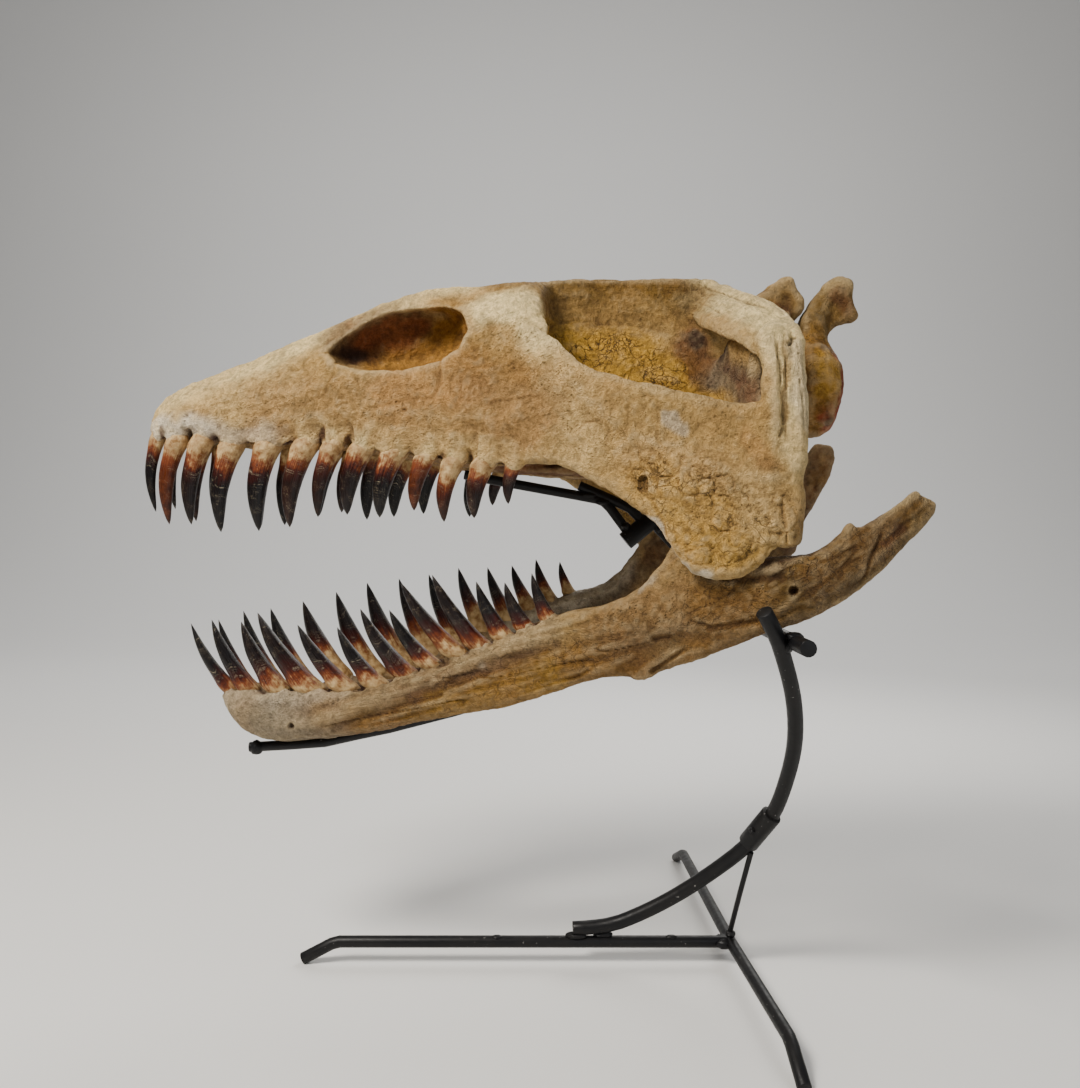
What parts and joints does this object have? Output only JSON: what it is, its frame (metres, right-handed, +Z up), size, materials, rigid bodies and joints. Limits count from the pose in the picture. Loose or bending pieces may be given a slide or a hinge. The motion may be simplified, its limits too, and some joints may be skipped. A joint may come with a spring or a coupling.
{
  "type": "plesiosaur skull fossil on stand",
  "caption": "Fossil skull of a long-necked plesiosaur, jaws agape with interlocking fangs, held up on a welded black rod stand.",
  "frame": {"origin": "centre of the bounding box, at floor level under the stand's feet", "axes": "+X toward the back of the skull, snout toward -X, +Y toward the animal's right, +Z up from the floor"},
  "size_m": [0.4424, 0.321, 0.418],
  "materials": {
    "bone": "fossil bone, pale tan with ochre and brown stains, matt",
    "stand": "satin black paint on welded steel rod"
  },
  "bodies": {
    "root": {"premaxilla_left": "bone", "premaxilla_right": "bone", "maxilla_left": "bone", "maxilla_right": "bone", "frontal": "bone", "parietal_crest": "bone", "braincase": "bone", "palate": "bone", "cheek_left": "bone", "cheek_right": "bone", "squamosal_arch_left": "bone", "squamosal_arch_right": "bone", "quadrate_left": "bone", "quadrate_right": "bone", "lower_jaw_front_left": "bone", "lower_jaw_front_right": "bone", "lower_jaw_back_left": "bone", "lower_jaw_back_right": "bone", "atlas": "bone", "axis": "bone", "stand_cross_leg": "stand", "stand_front_leg": "stand", "stand_mast": "stand", "stand_cross_bar": "stand", "stand_chin_rail": "stand", "stand_riser": "stand", "stand_clamp": "stand", "stand_palate_rail": "stand", "stand_palate_prop": "stand", "stand_mast_collar": "stand", "stand_brace": "stand"}
  },
  "joints": []
}
